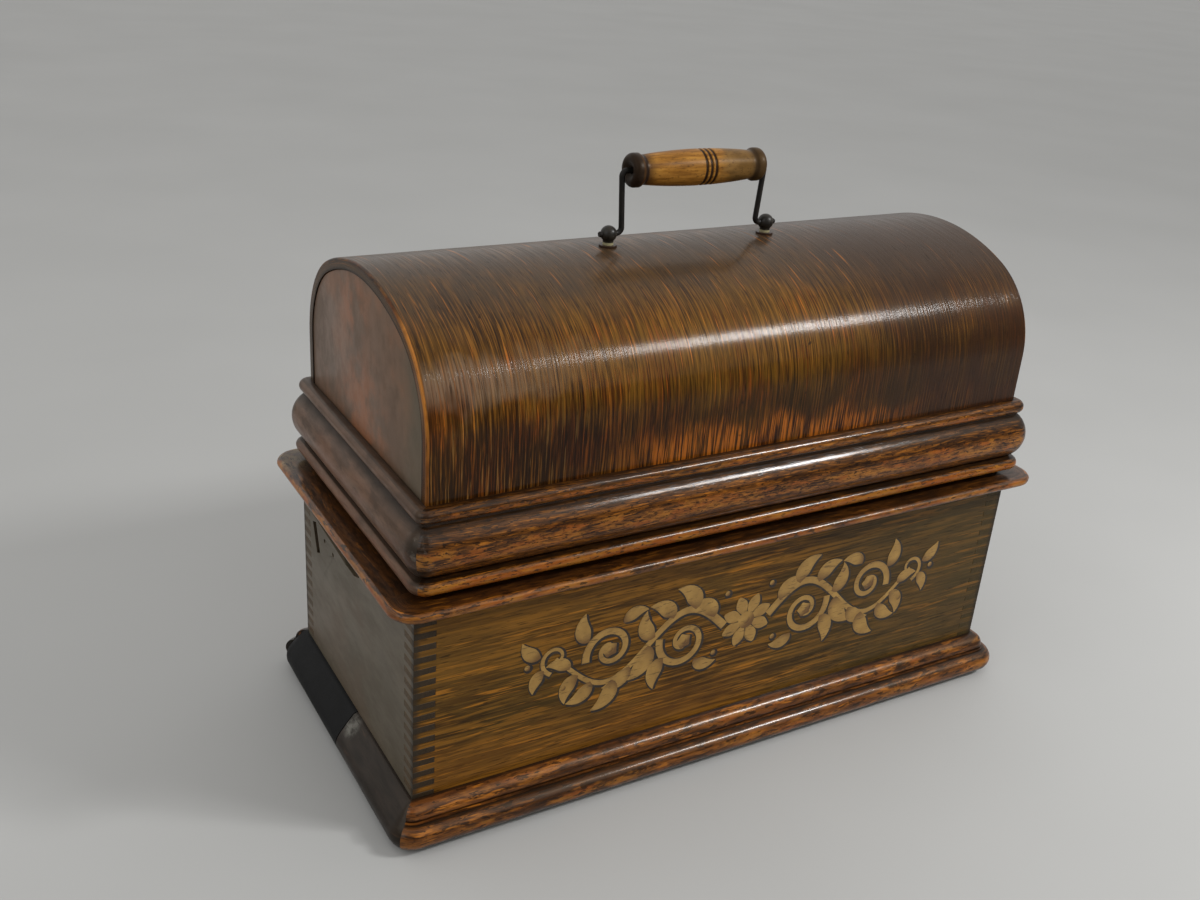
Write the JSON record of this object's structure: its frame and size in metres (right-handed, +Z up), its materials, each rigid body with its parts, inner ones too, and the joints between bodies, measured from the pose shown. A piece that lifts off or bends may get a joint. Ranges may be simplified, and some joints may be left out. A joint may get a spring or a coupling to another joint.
{
  "type": "cylinder phonograph",
  "caption": "Spring-driven cylinder phonograph in a finger-jointed oak case, with a lift-off domed lid, wire bail handle and works on a rear-hinged board.",
  "frame": {"origin": "centre of the case's underside, on the surface it stands on", "axes": "+X to the right along the case, +Y to the rear, +Z up"},
  "size_m": [0.4305, 0.208, 0.3379],
  "materials": {
    "oak": "varnished quarter-sawn oak",
    "dark_oak": "dark varnished oak",
    "black_wood": "black stained wood",
    "turned_wood": "worn varnished turned wood",
    "iron": "black japanned",
    "steel": "turned and ground",
    "brass": "aged",
    "leather": "oiled flat belt"
  },
  "bodies": {
    "cabinet": {"front_panel": "oak", "rear_panel": "oak", "left_end_panel": "dark_oak", "right_end_panel": "dark_oak", "bottom_board": "oak", "base_moulding_front": "dark_oak", "base_moulding_rear": "dark_oak", "base_moulding_right": "dark_oak", "base_moulding_left_front": "dark_oak", "base_moulding_left_rear": "black_wood", "crank_escutcheon": "brass", "lower_hinge_leaves": "brass"},
    "works": {"top_board": "dark_oak", "upper_hinge_leaves": "brass", "bedplate": "iron", "bedplate_screws": "steel", "motor_frame_left": "iron", "motor_frame_right": "iron", "motor_pillars": "steel", "winding_bracket": "iron", "back_rod": "steel", "straight_edge": "steel", "drive_belt": "leather"},
    "spindle": {"mandrel_shaft": "steel", "mandrel": "steel", "mandrel_pulley": "brass"},
    "gate": {"end_gate": "iron"},
    "sleeve": {"carriage_sleeve": "brass"},
    "arm": {"carriage_arm": "iron", "feed_nut_arm": "steel", "reproducer_body": "brass", "sound_tube": "brass"},
    "weight": {"floating_weight": "brass"},
    "lift": {"lift_lever": "steel"},
    "brake": {"brake_lever": "steel"},
    "speed": {"speed_screw": "steel"},
    "winding": {"winding_arbor": "steel", "winding_gear": "brass", "ratchet_wheel": "steel"},
    "pawl": {"ratchet_pawl": "steel"},
    "crank_shaft": {"winding_shaft": "steel"},
    "barrel": {"spring_barrel": "brass", "mainspring": "steel", "great_gear": "brass"},
    "first_wheel": {"first_train_wheel": "brass"},
    "second_wheel": {"second_train_wheel": "brass"},
    "drive": {"drive_arbor": "steel", "drive_pulley": "brass"},
    "governor": {"governor_spindle": "steel", "governor_weights": "brass"},
    "lid": {"dome_shell": "oak", "dome_end_left": "dark_oak", "dome_end_right": "dark_oak", "lid_moulding_front": "dark_oak", "lid_moulding_rear": "dark_oak", "lid_moulding_left": "dark_oak", "lid_moulding_right": "dark_oak", "handle_eye_posts": "brass"},
    "bail": {"bail": "iron"},
    "grip": {"grip": "turned_wood"}
  },
  "joints": [
    {"name": "works_tilt", "type": "hinge", "parent": "cabinet", "child": "works", "pos_m": [0, 0.0915, 0.1368], "axis": [-1, 0, 0], "range_deg": [0, 75]},
    {"name": "lid_lift", "type": "slide", "parent": "works", "child": "lid", "axis": [0, 0, 1], "range_m": [0, 0.25]},
    {"name": "bail_swing", "type": "hinge", "parent": "lid", "child": "bail", "pos_m": [0, 0, 0.29394], "axis": [1, 0, 0], "range_deg": [-90, 90]},
    {"name": "grip_spin", "type": "hinge", "parent": "bail", "child": "grip", "pos_m": [0, 0, 0.32794], "axis": [1, 0, 0], "continuous": true},
    {"name": "barrel_spin", "type": "hinge", "parent": "works", "child": "barrel", "pos_m": [0, 0.005, 0.062], "axis": [1, 0, 0], "continuous": true},
    {"name": "first_wheel_spin", "type": "hinge", "parent": "works", "child": "first_wheel", "pos_m": [0, 0.02882, 0.10327], "axis": [1, 0, 0], "continuous": true},
    {"name": "second_wheel_spin", "type": "hinge", "parent": "works", "child": "second_wheel", "pos_m": [0, -0.00754, 0.11301], "axis": [1, 0, 0], "continuous": true},
    {"name": "drive_spin", "type": "hinge", "parent": "works", "child": "drive", "pos_m": [0, -0.036, 0.10799], "axis": [1, 0, 0], "continuous": true},
    {"name": "governor_spin", "type": "hinge", "parent": "works", "child": "governor", "pos_m": [0, -0.04037, 0.08322], "axis": [1, 0, 0], "continuous": true},
    {"name": "spindle_spin", "type": "hinge", "parent": "works", "child": "spindle", "pos_m": [0, -0.02, 0.1903], "axis": [1, 0, 0], "continuous": true},
    {"name": "winding_spin", "type": "hinge", "parent": "works", "child": "winding", "pos_m": [0, 0.005, 0.062], "axis": [1, 0, 0], "continuous": true},
    {"name": "crank_shaft_spin", "type": "hinge", "parent": "works", "child": "crank_shaft", "pos_m": [0, 0.005, 0.08965], "axis": [1, 0, 0], "continuous": true},
    {"name": "pawl_swing", "type": "hinge", "parent": "works", "child": "pawl", "pos_m": [0.014, -0.022, 0.05], "axis": [1, 0, 0], "range_deg": [0, 25]},
    {"name": "gate_swing", "type": "hinge", "parent": "works", "child": "gate", "pos_m": [0.122, 0.012, 0.1903], "axis": [0, 0, 1], "range_deg": [0, 85]},
    {"name": "carriage_travel", "type": "slide", "parent": "works", "child": "sleeve", "axis": [1, 0, 0], "range_m": [0, 0.092]},
    {"name": "arm_lift", "type": "hinge", "parent": "sleeve", "child": "arm", "pos_m": [0.014, 0.03, 0.1963], "axis": [-1, 0, 0], "range_deg": [0, 20]},
    {"name": "weight_drop", "type": "hinge", "parent": "arm", "child": "weight", "pos_m": [0.014, -0.0035, 0.2217], "axis": [1, 0, 0], "range_deg": [0, 5]},
    {"name": "lift_lever_turn", "type": "hinge", "parent": "arm", "child": "lift", "pos_m": [0.006, -0.052, 0.2313], "axis": [-1, 0, 0], "range_deg": [0, 40]},
    {"name": "brake_swing", "type": "hinge", "parent": "works", "child": "brake", "pos_m": [-0.1, -0.053, 0.1523], "axis": [0, 0, 1], "range_deg": [0, 20]},
    {"name": "speed_turn", "type": "hinge", "parent": "works", "child": "speed", "pos_m": [-0.06, -0.053, 0.1523], "axis": [0, 0, 1], "continuous": true}
  ],
  "couplings": [
    {"joint": "first_wheel_spin", "follows": "barrel_spin", "ratio": -5.3333},
    {"joint": "second_wheel_spin", "follows": "barrel_spin", "ratio": 21.333},
    {"joint": "drive_spin", "follows": "barrel_spin", "ratio": -60.444},
    {"joint": "governor_spin", "follows": "barrel_spin", "ratio": 141.04},
    {"joint": "spindle_spin", "follows": "barrel_spin", "ratio": -71.111},
    {"joint": "crank_shaft_spin", "follows": "winding_spin", "ratio": -2.6667}
  ]
}
